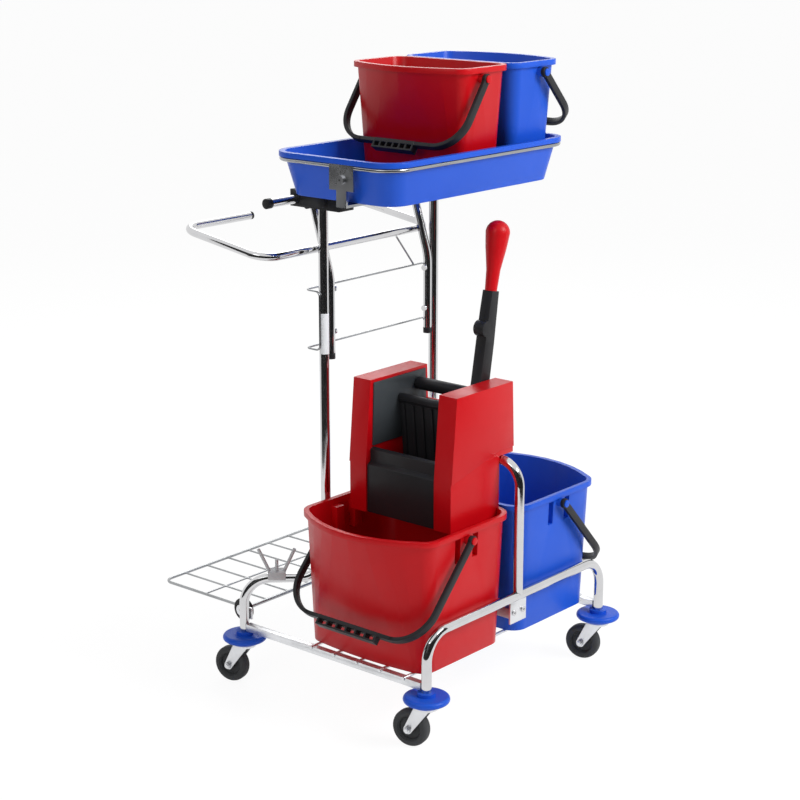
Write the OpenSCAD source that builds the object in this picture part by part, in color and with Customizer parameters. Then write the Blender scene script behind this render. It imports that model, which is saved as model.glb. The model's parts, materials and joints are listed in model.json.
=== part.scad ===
// Double mop bucket trolley: a chrome tube frame on four castors carries two large buckets side by
// side, a lever wringer over the red one, a tray with two small buckets at the top, an open bag
// ring and a folding wire platform under the bag. Length runs along X, the user stands at +Y.

/* [Base frame] */
// Distance between the castor stems along the length
stem_span_x = 570; // [540:2:640]
// Distance between the castor stems across the width
stem_span_y = 485; // [470:1:540]
// Diameter of the main frame tubes
tube_d = 20; // [18:0.5:22]
// Height of the front rail's centre line
rail_z = 229; // [215:1:245]
// Centre line radius of the frame bends
rail_bend = 55; // [45:1:62]
// Distance of each upright from the middle
upright_x = 170; // [160:1:182]
// Distance of the uprights behind the middle
upright_y = 118; // [114:1:135]
// Height of the upper ends of the uprights
upright_top = 1010; // [1005:1:1013]
// Height of the cross tube between the uprights
cross_z = 305; // [298:1:330]
// Width of the end bars
bar_w = 14; // [10:1:18]
// Height of the end bars
bar_h = 15; // [13:1:18]
// Height of the underside of the end bars
bar_z = 118; // [117:0.5:124]
// Diameter of the bucket support rods
rod_d = 7; // [5:0.5:8]
// Number of support rods
rod_count = 5; // [4:1:7]
// Distance of the outermost support rods from the bucket centre line
rod_reach = 120; // [100:1:130]
// Width of the middle tie bar
tie_w = 20; // [14:1:24]
// Height of the middle tie bar
tie_h = 22; // [16:1:26]
// Height of the underside of the tie bar
tie_z = 178; // [172:1:182]
// Width of the tie plates
tie_plate_w = 52; // [44:1:56]
// Height of the front tie plate
tie_plate_h = 45; // [40:1:47]
// Thickness of sheet metal plates
plate_t = 4; // [3:0.5:6]

/* [Hoop] */
// Diameter of the hoop tube
hoop_d = 20; // [16:0.5:22]
// Height of the top of the hoop
hoop_top = 512; // [500:1:513]
// Centre line radius of the hoop's corners
hoop_bend = 48; // [40:1:60]

/* [Castors] */
// Diameter of the wheels
wheel_d = 75; // [70:1:78]
// Width of the tread
wheel_w = 24; // [18:1:28]
// Distance of the axle behind the swivel stem
trail = 32; // [26:1:36]
// Angle that all castors are turned at rest
castor_turn = 12; // [0:1:30]
// Diameter of the bumper discs
bumper_d = 91; // [70:1:100]
// Thickness of the bumper discs
bumper_h = 20; // [16:1:24]
// Height of the underside of the bumpers
bumper_z = 89; // [87:1:92]
// Diameter of the collar on the bumper
collar_d = 36; // [30:1:44]
// Height of the collar on the bumper
collar_h = 7; // [4:1:8]
// Diameter of the swivel stem
stem_d = 11; // [9:0.5:12]
// Length of the swivel stem in the post above the collar
stem_in = 30; // [20:1:40]
// Diameter of the wheel axle
axle_d = 8; // [6:0.5:10]
// Thickness of the fork's steel
fork_t = 3; // [2:0.5:4]
// Diameter of the fork's crown
crown_d = 46; // [40:1:54]

/* [Push handle] */
// Diameter of the handle tubes
leg_d = 18; // [16:0.5:20]
// Height of the lower ends of the handle legs
leg_bottom = 698; // [684:1:706]
// Height of the lower leg bolt above the leg's end
bolt_rise_low = 42; // [38:1:50]
// Height of the upper leg bolt above the leg's end
bolt_rise_high = 128; // [110:1:135]
// Height at which the legs start to lean back
leg_knee = 850; // [838:1:880]
// Centre line radius of the leg bends
leg_bend = 120; // [80:1:150]
// Height of the handle bar's centre line
handle_z = 1007; // [1004:1:1010]
// Distance of the handle bar behind the middle
handle_y = 165; // [160:1:176]
// Length of the handle bar without its caps
handle_len = 536; // [480:2:600]
// Length of the caps and plugs outside the tubes
cap_len = 12; // [6:1:18]
// Diameter of the screws and bolts
bolt_d = 6; // [4:0.5:7]

/* [Clamps] */
// Width of the clamps
clamp_w = 42; // [38:1:48]
// Distance of the clamp's front face behind the middle
clamp_front = 53; // [45:1:70]
// Height of the underside of the clamps
clamp_z = 992; // [988:1:994]
// Height of the clamps
clamp_h = 33; // [31:1:36]
// Wall of the clamp round its tubes
clamp_wall = 7; // [5:0.5:9]

/* [Tray] */
// Length of the tray over its rim
tray_len = 558; // [550:2:566]
// Width of the tray over its rim
tray_width = 312; // [306:2:320]
// Height of the tray
tray_h = 85; // [75:1:95]
// Wall thickness of the tray
tray_wall = 3; // [2:0.5:5]
// Taper of each tray side from rim to floor
tray_taper = 15; // [12:1:16]
// Slope of the tray's end walls over its depth
tray_end_taper = 24; // [18:1:26]
// Corner radius of the tray
tray_corner = 55; // [40:1:65]
// Width of the tray's rim flange
tray_flange = 9; // [6:1:10]
// Distance of the tray's centre in front of the middle
tray_front = -5; // [-8:1:0]
// Diameter of the tray frame wire
tray_wire_d = 8; // [6:0.5:9]
// Width of the plates at the tray's ends
end_plate_w = 60; // [50:1:70]
// Width of the tray bearers
bearer_w = 25; // [20:1:30]

/* [Bag ring and rack] */
// Diameter of the ring tube
ring_d = 16; // [14:0.5:18]
// Height of the ring at the uprights
ring_z = 904; // [896:1:916]
// Rise of the ring from the uprights to its outer arm
ring_rise = 35; // [0:1:40]
// Distance of the outer arm behind the middle
ring_back = 380; // [340:2:420]
// Reach of the ring on the red side
ring_left = 300; // [270:1:315]
// Reach of the ring on the blue side
ring_right = 200; // [196:1:240]
// Length of the mouth left open in the outer arm
ring_mouth = 177; // [120:1:200]
// Centre line radius of the ring's corners
ring_bend = 40; // [30:1:50]
// Diameter of the rack wires
wire_d = 4; // [3:0.5:5]
// Height of the upper rack wire
rack_top = 826; // [815:1:835]
// Height of the lower rack wire
rack_low = 708; // [695:1:740]
// Depth of the rack behind the uprights
rack_depth = 37; // [30:1:45]

/* [Platform] */
// Length of the platform
platform_len = 516; // [480:2:526]
// Depth of the platform behind its hinge
platform_depth = 250; // [220:1:280]
// Height of the hinge
hinge_z = 150; // [145:1:158]
// Distance of the hinge behind the rear stems
hinge_back = 22; // [19:1:28]
// Diameter of the hinge rod
hinge_d = 8; // [6:0.5:9]
// Diameter of the platform's frame wire
frame_wire_d = 6; // [5:0.5:7]
// Number of cross wires
cross_wires = 7; // [5:1:9]
// Diameter of the black hinge bushes
bush_d = 30; // [20:1:32]
// Longest hinge bush, past which the platform grows with the brackets
bush_len = 13; // [10:0.5:20]

/* [Large buckets] */
// Length of a large bucket along the trolley, over the rim
bucket_len = 320; // [300:1:324]
// Width of a large bucket over the rim
bucket_width = 336; // [320:1:340]
// Height of a large bucket
bucket_h = 271; // [255:1:280]
// Taper of the side walls from rim to floor
bucket_taper = 10; // [6:1:14]
// Bow of the outer wall
bucket_bow = 42; // [36:1:50]
// Corner radius at the rim
bucket_corner = 44; // [36:1:50]
// Wall thickness of the buckets
bucket_wall = 3; // [2:0.5:4]
// Width of the rim flange
bucket_flange = 7; // [5:0.5:9]
// Height of the rim flange
flange_h = 11; // [8:1:14]
// Distance from the middle to the inner rim
bucket_gap = 6; // [5:0.5:8]
// Distance of the bucket centres in front of the middle
bucket_front = 70.5; // [67:0.5:72]
// Least distance from the buckets' rim line to the front rail's centre line
rail_clear = 4; // [3:0.5:8]
// Least gap between the large bails and the uprights
back_clear = 0.5; // [0.3:0.1:2]
// Furthest that a large bucket reaches past the castor stems
bucket_over = 44; // [36:1:50]

/* [Small buckets] */
// Length of a small bucket over the rim
small_len = 184; // [174:1:185]
// Width of a small bucket over the rim
small_width = 290; // [280:1:294]
// Height of a small bucket
small_h = 236; // [228:1:246]
// Taper of its side walls
small_taper = 14; // [12:1:16]
// Bow of its outer wall
small_bow = 26; // [16:1:32]
// Corner radius at its rim
small_corner = 34; // [30:1:38]
// Distance of the middle between the small buckets towards the blue side
small_shift = 97.5; // [90:0.5:98]
// Distance between the rims of the small buckets
small_gap = 3; // [2:0.5:6]

/* [Bails] */
// Length of a large bail from its pivot to its grip
bail_reach = 235; // [225:1:250]
// Length of a small bail from its pivot to its grip
small_reach = 152; // [146:1:156]
// Thickness of the bail strap
bail_t = 8; // [6:0.5:9]
// Width of the bail strap
bail_w = 15; // [12:0.5:18]
// Outer radius of the bail's corners
bail_corner = 78; // [60:1:84]
// Outer corner radius of the small bails
small_bail_corner = 66; // [50:1:72]
// Length of the bail's grip
grip_len = 150; // [120:1:160]
// Length of the grip on a small bail
small_grip_len = 100; // [80:1:110]
// Number of grip ribs
grip_windows = 6; // [4:1:8]
// Depth of the grip below the strap
grip_drop = 13; // [10:0.5:16]
// Thickness of the grip's ribs and of its lower rail
grip_rib = 4; // [3:0.5:6]
// Distance of the bail's pivot from the middle of a large bucket
pivot_shift = 15; // [10:1:20]
// Width of the stacking pockets beside the pivots of a large bucket
pocket_w = 16; // [12:1:20]
// Height of the stacking pockets
pocket_h = 48; // [40:1:56]
// Depth of the stacking pockets
pocket_d = 7; // [5:0.5:9]
// Distance of a stacking pocket from the pivot
pocket_off = 27; // [24:1:32]
// Diameter of the pivot pins on the buckets
pivot_d = 10; // [8:0.5:11]
// Depth of the pivots below the rim
pivot_drop = 22; // [21:1:30]
// Angle of a hanging large bail from the vertical
bail_hang = 43; // [41:1:46]
// Angle of a hanging small bail from the vertical
small_hang = 35; // [33:1:40]
// Angle at which the small blue bail rests over the tray's end
small_blue_hang = 43; // [42:0.5:48]
// Gap between a bail and its bucket
bail_gap = 2; // [1:0.5:3]

/* [Wringer] */
// Width of the wringer over its cheeks
wringer_w = 262; // [250:1:268]
// Height of the wringer
wringer_h = 268; // [255:1:280]
// Length of the wringer at its foot
wringer_len = 152; // [145:1:158]
// Overhang of the upper body over the hoop
wringer_over = 44; // [38:1:48]
// Depth of the ledge on the front panel
ledge_d = 10; // [6:0.5:14]
// Rise of the ledge on the front panel
ledge_rise = 6; // [3:0.5:9]
// Height of the basket's front lip above the panel
lip_h = 34; // [24:1:40]
// Reach of the sloping basket floor behind the panel
floor_reach = 72; // [60:1:80]
// Drop of the basket floor under the panel's top
floor_drop = 18; // [10:1:24]
// Width of each cheek
cheek_w = 44; // [36:1:50]
// Depth of the wringer's foot below the bucket rim
wringer_sink = 17; // [12:1:24]
// Height of the front panel
panel_h = 98; // [85:1:110]
// Lean of the cheeks' front edges
cheek_lean = 15; // [8:1:20]
// Wall thickness of the wringer's sheet parts
wringer_wall = 5; // [4:0.5:6]
// Step between the upper and lower cheek
seam_step = 2; // [1:0.5:3]
// Diameter of the lever's shaft
shaft_d = 16; // [12:0.5:18]
// Height of the shaft above the wringer's foot
shaft_h = 236; // [228:1:240]
// Distance of the lever's shaft from the front of the wringer
shaft_back = 157; // [150:1:162]
// Diameter of the press plate's pin
press_pin_d = 10; // [8:0.5:12]
// Height of the press plate's pin above the wringer's foot
press_h = 68; // [60:1:76]
// Distance of the press plate's pin from the front of the wringer
press_back = 118; // [112:1:124]
// Length of the lever from shaft to grip
lever_len = 208; // [190:1:230]
// Length of the grip
lever_grip_len = 138; // [110:1:150]
// Width of the lever's arm
lever_w = 24; // [18:1:28]
// Lean of the lever at rest
lever_lean = 10; // [6:1:14]
// Diameter of the cross roller
roller_d = 26; // [20:1:30]

/* [Fits] */
// Gap between seated pieces
seat_gap = 0.3; // [0.2:0.05:0.4]
// Radial running clearance of pins and shafts
run_clear = 0.05; // [0.03:0.01:0.08]

/* [Hidden] */
$fn = 48;

stem_x = max(stem_span_x / 2, bucket_gap + bucket_len - bucket_over);
stem_y = max(stem_span_y / 2, bucket_front + bucket_width / 2 + rail_clear);
bail_edge = bucket_width / 2 + bail_gap + bail_t - bucket_front;
rear_y = max(upright_y, bail_edge + back_clear + tube_d / 2);
hinge_y = stem_y + hinge_back;
front_edge = -stem_y - bumper_d / 2;
back_edge = hinge_y + platform_depth + frame_wire_d / 2;
y_mid = (front_edge + back_edge) / 2;
post_z = bumper_z + bumper_h + collar_h;
rod_proud = 2;
rod_z = bar_z + bar_h + rod_proud - rod_d / 2;
bucket_z = rod_z + rod_d / 2 + seat_gap;
rim_z = bucket_z + bucket_h;
bar_reach = stem_y - tube_d / 2 - seat_gap;
hoop_line = hoop_top - hoop_d / 2;
screw_head_d = 2 * bolt_d;
screw_head_h = 3;

function unit(v) = v / norm(v);
function thousandth(v) = round(v * 1000) / 1000;
function turn(u, v) = acos(max(-1, min(1, u * v)));

// Everything is measured from the middle of the castors and set over the middle of the footprint
module placed() {
    translate([0, -y_mid, 0]) children();
}

// Round bar from point a to point b
module rod(a, b, d) {
    v = b - a;
    translate(a) rotate([0, acos(v[2] / norm(v)), atan2(v[1], v[0])]) cylinder(h = norm(v), d = d);
}

// Bend of radius r at corner p between the directions u and v
module elbow(p, u, v, r, d) {
    angle = turn(u, v);
    n = unit(v - u * (u * v));
    c = p - u * r * tan(angle / 2) + n * r;
    w = cross(-n, u);
    multmatrix([
        [-n[0], u[0], w[0], c[0]],
        [-n[1], u[1], w[1], c[1]],
        [-n[2], u[2], w[2], c[2]],
        [0, 0, 0, 1]
    ]) rotate_extrude(angle = angle) translate([r, 0]) circle(d = d);
}

// Bent tube along a line of corner points
module tube(points, d, r) {
    last = len(points) - 1;
    dirs = [for (i = [0 : last - 1]) unit(points[i + 1] - points[i])];
    cuts = [for (i = [0 : last]) i == 0 || i == last ? 0 : r * tan(turn(dirs[i - 1], dirs[i]) / 2)];
    for (i = [0 : last - 1]) {
        rod(points[i] + dirs[i] * cuts[i], points[i + 1] - dirs[i] * cuts[i + 1], d);
    }
    for (i = [1 : last - 1]) elbow(points[i], dirs[i - 1], dirs[i], r, d);
}

// Cylinder along Y from y0 to y1 at x, z
module pin_y(x, z, y0, y1, d) {
    translate([x, y0, z]) rotate([-90, 0, 0]) cylinder(h = y1 - y0, d = d);
}

// Cylinder along X from x0 to x1 at y, z
module pin_x(y, z, x0, x1, d) {
    translate([x0, y, z]) rotate([0, 90, 0]) cylinder(h = x1 - x0, d = d);
}

// Running bore for a swivel stem in the foot of a post
module stem_bore(x, y) {
    translate([x, y, post_z - 1]) cylinder(h = stem_in + 2, d = stem_d + 2 * run_clear);
}

module front_rail() {
    color("silver") placed() difference() {
        tube([
            [-stem_x, -stem_y, post_z],
            [-stem_x, -stem_y, rail_z],
            [stem_x, -stem_y, rail_z],
            [stem_x, -stem_y, post_z]
        ], tube_d, rail_bend);
        for (side = [-1, 1]) stem_bore(side * stem_x, -stem_y);
    }
}

slant = [stem_x - upright_x, stem_y - rear_y];
slant_len = thousandth(norm(slant));

// Rear post, slanting tie and upright bent from one tube in one upright plane
module rear_frame(side) {
    color("silver") placed() translate([side * stem_x, stem_y, 0]) {
        rotate([0, 0, atan2(-slant[1], -side * slant[0])]) difference() {
            tube([
                [0, 0, post_z],
                [0, 0, rail_z],
                [slant_len, 0, rail_z],
                [slant_len, 0, upright_top]
            ], tube_d, rail_bend);
            stem_bore(0, 0);
        }
    }
}

module rear_frame_red() {
    rear_frame(-1);
}

module rear_frame_blue() {
    rear_frame(1);
}

// Cross tube with its ends saddled to the uprights
module cross_tube() {
    color("silver") placed() difference() {
        pin_x(rear_y, cross_z, -upright_x, upright_x, tube_d);
        for (side = [-1, 1]) translate([side * upright_x, rear_y, cross_z - tube_d]) {
            cylinder(h = 2 * tube_d, d = tube_d + 2 * seat_gap);
        }
    }
}

function rod_y(i) = -bucket_front + rod_reach * (2 * i / (rod_count - 1) - 1);

module end_bar(side) {
    color("gainsboro") placed() difference() {
        translate([side * stem_x - bar_w / 2, -bar_reach, bar_z]) cube([bar_w, 2 * bar_reach, bar_h]);
        for (i = [0 : rod_count - 1]) {
            pin_x(rod_y(i), rod_z, side * stem_x - bar_w, side * stem_x + bar_w, rod_d + 2 * seat_gap);
        }
    }
}

module end_bar_red() {
    end_bar(-1);
}

module end_bar_blue() {
    end_bar(1);
}

// Support rods that pass through the end bars
module support_rods() {
    rod_end = stem_x + bar_w / 2 + 2;
    color("gainsboro") placed() for (i = [0 : rod_count - 1]) {
        pin_x(rod_y(i), rod_z, -rod_end, rod_end, rod_d);
    }
}

// Tie between the front rail and the cross tube, with a plate under each
module tie_bar() {
    plate_top = rail_z - tube_d / 2 - seat_gap;
    back_top = cross_z - tube_d / 2 - seat_gap;
    color("gainsboro") placed() {
        translate([-tie_plate_w / 2, -stem_y - plate_t / 2, plate_top - tie_plate_h]) {
            cube([tie_plate_w, plate_t, tie_plate_h]);
        }
        translate([-tie_w / 2, -stem_y, tie_z]) cube([tie_w, stem_y + rear_y, tie_h]);
        translate([-tie_plate_w / 2, rear_y - plate_t / 2, tie_z]) {
            cube([tie_plate_w, plate_t, back_top - tie_z]);
        }
    }
}

module tie_screws() {
    plate_mid = rail_z - tube_d / 2 - seat_gap - tie_plate_h / 2;
    face = -stem_y - plate_t / 2;
    color("silver") placed() for (side = [-1, 1]) {
        pin_y(side * tie_plate_w / 3.5, plate_mid, face - screw_head_h, face, screw_head_d);
    }
}

// Hoop between the buckets, saddled on the front rail and on the cross tube
module centre_hoop() {
    color("silver") placed() difference() {
        tube([
            [0, -stem_y, rail_z],
            [0, -stem_y, hoop_line],
            [0, rear_y, hoop_line],
            [0, rear_y, cross_z]
        ], hoop_d, hoop_bend);
        pin_x(-stem_y, rail_z, -hoop_d, hoop_d, tube_d + 2 * seat_gap);
        pin_x(rear_y, cross_z, -hoop_d, hoop_d, tube_d + 2 * seat_gap);
    }
}

// Bumper disc with a rounded edge, a hollow taper below and a collar for the post
module bumper() {
    r = bumper_d / 2;
    round = bumper_h / 3;
    difference() {
        rotate_extrude() {
            polygon([
                [0, bumper_z], [r * 0.62, bumper_z], [r - round, bumper_z + bumper_h / 3],
                [r - round, bumper_z + bumper_h], [0, bumper_z + bumper_h]
            ]);
            translate([r - round, bumper_z + bumper_h - round]) circle(r = round);
            translate([0, bumper_z + bumper_h]) square([collar_d / 2, collar_h]);
        }
        translate([0, 0, bumper_z - 1]) cylinder(h = bumper_h + collar_h + 2, d = stem_d + 2 * run_clear);
    }
}

module bumpers() {
    color("royalblue") placed() for (sx = [-1, 1], sy = [-1, 1]) {
        translate([sx * stem_x, sy * stem_y, 0]) bumper();
    }
}

// Castor places: red front, blue front, red rear, blue rear
stem_places = [[-stem_x, -stem_y], [stem_x, -stem_y], [-stem_x, stem_y], [stem_x, stem_y]];
axle_z = wheel_d / 2;
crown_top = bumper_z - seat_gap;
crown_low = crown_top - 6;
cheek_inner = wheel_w / 2 + 1.5;
boss_r = axle_d / 2 + 5;

// Local frame of castor i: swivel stem on Z, wheel trailing towards +Y
module castor_at(i) {
    placed() translate([stem_places[i][0], stem_places[i][1], 0]) rotate([0, 0, castor_turn]) children();
}

// Pressed fork: crown with its swivel stem and two cheeks down to the axle
module castor_fork(i) {
    color("silver") castor_at(i) difference() {
        union() {
            translate([0, 0, crown_low]) cylinder(h = crown_top - crown_low, d = crown_d);
            translate([0, 0, crown_top - 1]) cylinder(h = post_z + stem_in - crown_top, d = stem_d);
            for (side = [-1, 1]) {
                translate([side * (cheek_inner + fork_t / 2) - fork_t / 2, 0, 0])
                rotate([90, 0, 90]) linear_extrude(fork_t) {
                    polygon([
                        [-crown_d / 3, crown_low + 3], [crown_d / 2.4, crown_low + 3],
                        [trail + boss_r * 0.8, axle_z + boss_r * 0.6],
                        [trail - boss_r * 0.6, axle_z - boss_r * 0.8]
                    ]);
                    translate([trail, axle_z]) circle(r = boss_r);
                }
            }
        }
        pin_x(trail, axle_z, -wheel_w, wheel_w, axle_d + 2 * seat_gap);
    }
}

module castor_fork_1() {
    castor_fork(0);
}

module castor_fork_2() {
    castor_fork(1);
}

module castor_fork_3() {
    castor_fork(2);
}

module castor_fork_4() {
    castor_fork(3);
}

// Axle bolt with a head and a nut against the fork's cheeks
module castor_axle(i) {
    face = cheek_inner + fork_t;
    color("darkgray") castor_at(i) {
        pin_x(trail, axle_z, -face - 4, face + 4, axle_d);
        pin_x(trail, axle_z, -face - 4, -face, axle_d + 6);
        pin_x(trail, axle_z, face, face + 4, axle_d + 6);
    }
}

module castor_axle_1() {
    castor_axle(0);
}

module castor_axle_2() {
    castor_axle(1);
}

module castor_axle_3() {
    castor_axle(2);
}

module castor_axle_4() {
    castor_axle(3);
}

// Wheel with a rounded tread, dished sides and a hub
module castor_wheel(i) {
    r = wheel_d / 2;
    hub = axle_d / 2 + 6;
    web = wheel_w / 5;
    round = wheel_w / 3;
    color("dimgray") castor_at(i) translate([0, trail, axle_z]) rotate([0, 90, 0]) difference() {
        rotate_extrude() {
            translate([0, -wheel_w / 2 - 1]) square([hub, wheel_w + 2]);
            translate([0, -web]) square([r - round, 2 * web]);
            translate([r * 0.68, -wheel_w / 2]) square([r * 0.32 - round, wheel_w]);
            translate([r * 0.68, -wheel_w / 2 + round]) square([r * 0.32, wheel_w - 2 * round]);
            for (side = [-1, 1]) translate([r - round, side * (wheel_w / 2 - round)]) circle(r = round);
        }
        translate([0, 0, -wheel_w]) cylinder(h = 2 * wheel_w, d = axle_d + 2 * run_clear);
    }
}

module castor_wheel_1() {
    castor_wheel(0);
}

module castor_wheel_2() {
    castor_wheel(1);
}

module castor_wheel_3() {
    castor_wheel(2);
}

module castor_wheel_4() {
    castor_wheel(3);
}

bracket_x = stem_x - tube_d / 2 - seat_gap - plate_t;
bracket_r = hinge_d / 2 + 8;
platform_half = max(platform_len / 2, bracket_x - bush_len);

// Hinge plates on the inner sides of the rear posts
module platform_brackets() {
    color("gainsboro") placed() for (side = [-1, 1]) difference() {
        union() {
            translate([side * (bracket_x + plate_t / 2), 0, 0]) {
                translate([-plate_t / 2, stem_y - tube_d / 2, hinge_z - bracket_r]) {
                    cube([plate_t, tube_d / 2 + hinge_back, 2 * bracket_r]);
                }
                pin_x(hinge_y, hinge_z, -plate_t / 2, plate_t / 2, 2 * bracket_r);
            }
            for (step = [-1, 1]) {
                translate([side * bracket_x, stem_y, hinge_z + step * bracket_r / 2]) {
                    rotate([0, -90 * side, 0]) cylinder(h = screw_head_h, d = screw_head_d * 0.8);
                }
            }
        }
        middle = side * (bracket_x + plate_t / 2);
        pin_x(hinge_y, hinge_z, middle - plate_t, middle + plate_t,
            hinge_d + 2 * run_clear);
    }
}

// Wire grid that folds up about its hinge rod
module bag_platform() {
    half = platform_half;
    far = hinge_y + platform_depth;
    corner = 22;
    color("silver") placed() {
        pin_x(hinge_y, hinge_z, -bracket_x - plate_t, bracket_x + plate_t, hinge_d);
        tube([
            [-half + frame_wire_d / 2, hinge_y, hinge_z],
            [-half + frame_wire_d / 2, far, hinge_z],
            [half - frame_wire_d / 2, far, hinge_z],
            [half - frame_wire_d / 2, hinge_y, hinge_z]
        ], frame_wire_d, corner);
        for (i = [1 : cross_wires]) {
            x = -half + 2 * half * i / (cross_wires + 1);
            rod([x, hinge_y, hinge_z], [x, far, hinge_z], wire_d);
        }
        reach = half - frame_wire_d / 2;
        pin_x(hinge_y + platform_depth / 2, hinge_z, -reach, reach, wire_d);
    }
}

// Black bushes on the hinge rod between the grid and the plates
module platform_bushes() {
    inner = platform_half + seat_gap;
    color("black") placed() for (side = [-1, 1]) difference() {
        outer = bracket_x - seat_gap;
        pin_x(hinge_y, hinge_z, side > 0 ? inner : -outer, side > 0 ? outer : -inner, bush_d);
        pin_x(hinge_y, hinge_z, -stem_x, stem_x, hinge_d + 2 * seat_gap);
    }
}

fork_share = 0.4;
fork_base = 36;
fork_spread = 74;
fork_h = 52;
fork_d = 7;

// Forked holder for mop handles, clipped on the slanting tube by the red side's rear post
module mop_fork() {
    along = [stem_x - upright_x, rear_y - stem_y];
    low = tube_d / 2 + seat_gap;
    color("lightgray") placed()
    translate([-stem_x + along[0] * fork_share, stem_y + along[1] * fork_share, rail_z])
    rotate([0, 0, atan2(along[1], along[0])]) {
        difference() {
            translate([-fork_base / 2, -tube_d / 2 - 5, 0]) cube([fork_base, tube_d + 10, low + 6]);
            pin_x(0, 0, -fork_base, fork_base, tube_d + 2 * seat_gap);
        }
        for (side = [-1, 1]) {
            foot = [side * (fork_base - fork_d) / 2, 0, low + 3];
            rod(foot, [side * fork_spread / 2, 0, low + fork_h], fork_d);
        }
        translate([0, 0, low + 3]) cylinder(h = fork_h / 2, d = fork_d);
    }
}

leg_x = upright_x - (tube_d + leg_d) / 2 - seat_gap;
leg_lean = atan2(handle_y - rear_y, handle_z - leg_knee);
bolt_low = leg_bottom + bolt_rise_low;
bolt_high = leg_bottom + bolt_rise_high;

// Handle leg beside the upright, leaning back above the knee and saddled under the handle bar
module handle_leg(side) {
    rise = handle_z - leg_knee;
    cut = thousandth(leg_bend * tan(leg_lean / 2));
    upper_len = thousandth(norm([handle_y - rear_y, rise]) - cut);
    color("silver") placed() translate([side * leg_x, rear_y, leg_knee - cut]) difference() {
        union() {
            lower_len = leg_knee - cut - leg_bottom;
            translate([0, 0, -lower_len]) cylinder(h = lower_len, d = leg_d);
            translate([0, leg_bend, 0]) rotate([90, 0, -90]) {
                rotate_extrude(angle = leg_lean) translate([leg_bend, 0]) circle(d = leg_d);
            }
            translate([0, leg_bend, 0]) rotate([-leg_lean, 0, 0]) translate([0, -leg_bend, 0]) {
                cylinder(h = upper_len, d = leg_d);
            }
        }
        pin_x(handle_y - rear_y, rise + cut, -leg_d, leg_d, leg_d + 2 * seat_gap);
    }
}

module handle_leg_red() {
    handle_leg(-1);
}

module handle_leg_blue() {
    handle_leg(1);
}

module handle_bar() {
    color("silver") placed() pin_x(handle_y, handle_z, -handle_len / 2, handle_len / 2, leg_d);
}

// Black caps on the ends of the handle bar
module handle_caps() {
    color("black") placed() for (side = [-1, 1]) {
        x = side > 0 ? handle_len / 2 : -handle_len / 2 - cap_len;
        pin_x(handle_y, handle_z, x, x + cap_len, leg_d + 2);
    }
}

// Black plugs in the lower ends of the handle legs
module leg_plugs() {
    color("black") placed() for (side = [-1, 1]) translate([side * leg_x, rear_y, leg_bottom - cap_len]) {
        cylinder(h = cap_len, d = leg_d);
    }
}

// Domed bolt heads that hold each leg to its upright, seated on flats of the leg's inner side
module leg_bolts() {
    color("silver") placed() for (side = [-1, 1], z = [bolt_low, bolt_high]) {
        translate([side * (leg_x - leg_d / 2 - seat_gap), rear_y, z]) rotate([0, -90 * side, 0]) {
            cylinder(h = screw_head_h + 1, d = screw_head_d);
        }
    }
}

clamp_in = upright_x - tube_d / 2 - clamp_wall;
clamp_top = clamp_z + clamp_h;

// Black clamp on the top of an upright, which holds the handle bar and carries the tray
module clamp(side) {
    split = rear_y + tube_d / 2 + clamp_wall;
    back = handle_y + leg_d / 2 + clamp_wall;
    color("black") placed() mirror([side < 0 ? 1 : 0, 0, 0]) difference() {
        union() {
            translate([clamp_in, clamp_front, clamp_z]) cube([clamp_w, split - clamp_front, clamp_h]);
            translate([leg_x + leg_d / 2 + 1, split, clamp_z]) {
                cube([clamp_in + clamp_w - leg_x - leg_d / 2 - 1, back - split, clamp_h]);
            }
            side_x = clamp_in + clamp_w;
            pin_x((clamp_front + split) / 2, clamp_z + clamp_h / 2, side_x, side_x + 9, clamp_h * 0.7);
        }
        translate([upright_x, rear_y, clamp_z - 1]) {
            cylinder(h = upright_top + seat_gap - clamp_z + 1, d = tube_d + 2 * seat_gap);
        }
        pin_x(handle_y, handle_z, clamp_in - 1, clamp_in + clamp_w + 1, leg_d + 2 * seat_gap);
    }
}

module clamp_red() {
    clamp(-1);
}

module clamp_blue() {
    clamp(1);
}

leg_line = rear_y + max(ring_z - leg_knee, 0) * tan(leg_lean);
ring_y = leg_line + ((leg_d + ring_d) / 2 + seat_gap) / cos(leg_lean);
ring_depth = thousandth(norm([ring_back - ring_y, ring_rise]));
ring_tilt = atan2(ring_rise, ring_back - ring_y);
mouth_x = (ring_right - ring_left) / 2 + 30;

// The ring lies in one plane that rises from the uprights
module ring_place() {
    placed() translate([0, ring_y, ring_z]) rotate([ring_tilt, 0, 0]) children();
}

// Open ring for the waste bag, bent from one tube behind the uprights
module bag_ring() {
    color("silver") ring_place() tube([
        [mouth_x + ring_mouth / 2, ring_depth, 0],
        [ring_right, ring_depth, 0],
        [ring_right, 0, 0],
        [-ring_left, 0, 0],
        [-ring_left, ring_depth, 0],
        [mouth_x - ring_mouth / 2, ring_depth, 0]
    ], ring_d, ring_bend);
}

module ring_plugs() {
    plug = cap_len / 2;
    ends = [mouth_x + ring_mouth / 2 - plug, mouth_x - ring_mouth / 2];
    color("black") ring_place() for (x = ends) pin_x(ring_depth, 0, x, x + plug, ring_d);
}

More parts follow.
